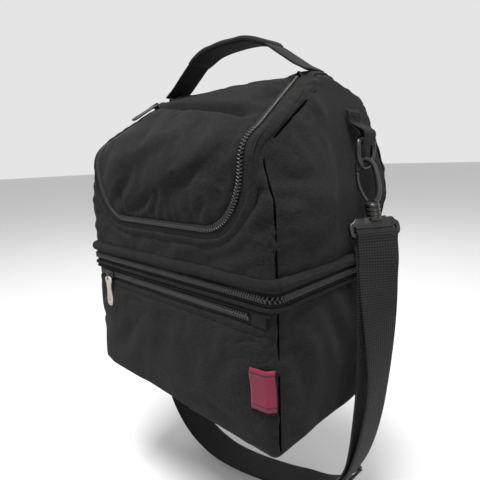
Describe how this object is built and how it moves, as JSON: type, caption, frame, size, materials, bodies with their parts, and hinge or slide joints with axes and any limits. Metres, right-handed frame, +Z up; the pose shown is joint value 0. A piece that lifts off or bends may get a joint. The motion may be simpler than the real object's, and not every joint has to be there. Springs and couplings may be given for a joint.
{
  "type": "insulated cooler bag",
  "caption": "Two-compartment insulated cooler bag with sloping zipped lid, zipped lower box, front pocket, carry handle and clip-on webbing shoulder strap.",
  "frame": {"origin": "middle of the carry handle's grip, where a hand holds the bag", "axes": "+X to the bag's right as seen from its front, +Y from the front panel to the back, +Z up"},
  "size_m": [0.331, 0.1678, 0.4915],
  "materials": {
    "melange_fabric": "charcoal melange woven polyester",
    "foam": "closed-cell foam board",
    "foil": "quilted foil lining",
    "zip_tape": "woven zip tape",
    "zip_teeth": "nylon coil",
    "zip_metal": "worn gunmetal",
    "webbing": "ribbed polypropylene webbing",
    "moulded_plastic": "moulded black acetal",
    "label_weave": "woven satin label"
  },
  "bodies": {
    "lower_compartment": {"lower_wall_skin": "melange_fabric", "lower_base_skin": "melange_fabric", "lower_foam_front": "foam", "lower_foam_back": "foam", "lower_foam_left": "foam", "lower_foam_right": "foam", "lower_foam_base": "foam", "lower_lining": "foil", "front_pocket_panel": "melange_fabric", "pocket_zip_tape": "zip_tape", "pocket_zip_teeth": "zip_teeth", "pocket_zip_end_tab": "melange_fabric", "side_label": "label_weave", "belt_lower_tape": "zip_tape", "belt_lower_teeth": "zip_teeth", "belt_lower_piping": "melange_fabric"},
    "upper_compartment": {"belt_upper_tape": "zip_tape", "belt_upper_teeth": "zip_teeth", "belt_upper_welt": "melange_fabric", "upper_skin": "melange_fabric", "upper_lining": "foil", "divider_panel": "foam", "upper_foam_right_low": "foam", "upper_foam_right_top": "foam", "upper_foam_left_low": "foam", "upper_foam_left_top": "foam", "upper_foam_back": "foam", "upper_foam_front": "foam", "upper_foam_slope": "foam", "upper_foam_top": "foam", "lid_zip_outer_tape": "zip_tape", "lid_zip_outer_teeth": "zip_teeth", "handle_anchor_right": "webbing", "handle_anchor_left": "webbing", "d_ring_right": "moulded_plastic", "d_ring_left": "moulded_plastic", "strap_tab_right": "melange_fabric", "strap_tab_left": "melange_fabric"},
    "lid": {"lid_skin": "melange_fabric", "lid_lining": "foil", "lid_foam_front": "foam", "lid_foam_slope": "foam", "lid_zip_inner_teeth": "zip_teeth"},
    "carry_handle": {"handle_webbing": "webbing", "handle_grip": "melange_fabric"},
    "shoulder_strap": {"hook_spine_right": "moulded_plastic", "hook_spine_left": "moulded_plastic", "swivel_frame_right": "moulded_plastic", "swivel_frame_left": "moulded_plastic", "strap_webbing": "webbing", "strap_inner_layer": "webbing", "strap_adjuster": "moulded_plastic"},
    "snap_gate_right": {"hook_gate_right": "moulded_plastic"},
    "snap_gate_left": {"hook_gate_left": "moulded_plastic"},
    "pocket_slider": {"pocket_slider_block": "zip_metal"},
    "pocket_pull": {"pocket_pull_tab": "zip_metal"},
    "lid_slider": {"lid_slider_block": "zip_metal"},
    "lid_pull": {"lid_pull_tab": "zip_metal"},
    "belt_slider": {"belt_slider_block": "zip_metal"},
    "belt_pull": {"belt_pull_tab": "zip_metal"}
  },
  "joints": [
    {"name": "compartment_hinge", "type": "hinge", "parent": "lower_compartment", "child": "upper_compartment", "pos_m": [0, 0.0615, -0.21], "axis": [-1, 0, 0], "range_deg": [0, 100]},
    {"name": "lid_hinge", "type": "hinge", "parent": "upper_compartment", "child": "lid", "pos_m": [0, -0.0226, -0.0455], "axis": [-1, 0, 0], "range_deg": [0, 110]},
    {"name": "handle_drop", "type": "slide", "parent": "upper_compartment", "child": "carry_handle", "axis": [0, 0, -1], "range_m": [0, 0.022], "stiffness_N_per_m": 200, "springref_m": -0.003, "deforming": ["handle_webbing"]},
    {"name": "strap_swing", "type": "hinge", "parent": "upper_compartment", "child": "shoulder_strap", "pos_m": [0, 0.02, -0.108], "axis": [1, 0, 0], "range_deg": [-60, 60]},
    {"name": "gate_right", "type": "hinge", "parent": "shoulder_strap", "child": "snap_gate_right", "pos_m": [0.13905, 0.01652, -0.149], "axis": [-0.5, 0.866, 0], "range_deg": [0, 12], "stiffness_Nm_per_rad": 0.03, "springref_deg": -2.86},
    {"name": "gate_left", "type": "hinge", "parent": "shoulder_strap", "child": "snap_gate_left", "pos_m": [-0.13905, 0.01652, -0.149], "axis": [-0.5, -0.866, 0], "range_deg": [0, 12], "stiffness_Nm_per_rad": 0.03, "springref_deg": -2.86},
    {"name": "pocket_zip", "type": "slide", "parent": "lower_compartment", "child": "pocket_slider", "axis": [1, 0, 0], "range_m": [0, 0.19]},
    {"name": "pocket_pull_flip", "type": "hinge", "parent": "pocket_slider", "child": "pocket_pull", "pos_m": [-0.096, -0.107, -0.2295], "axis": [-1, 0, 0], "range_deg": [0, 120]},
    {"name": "lid_zip", "type": "slide", "parent": "upper_compartment", "child": "lid_slider", "axis": [-0.1891, -0.8345, -0.5176], "range_m": [0, 0.058]},
    {"name": "lid_pull_flip", "type": "hinge", "parent": "lid_slider", "child": "lid_pull", "pos_m": [-0.09648, -0.02831, -0.04717], "axis": [-0.982, 0.1607, 0.0996], "range_deg": [0, 110]},
    {"name": "main_zip", "type": "slide", "parent": "lower_compartment", "child": "belt_slider", "axis": [0, -1, 0], "range_m": [0, 0.115]},
    {"name": "main_pull_flip", "type": "hinge", "parent": "belt_slider", "child": "belt_pull", "pos_m": [-0.1379, 0.038, -0.2115], "axis": [0, 1, 0], "range_deg": [0, 120]}
  ]
}
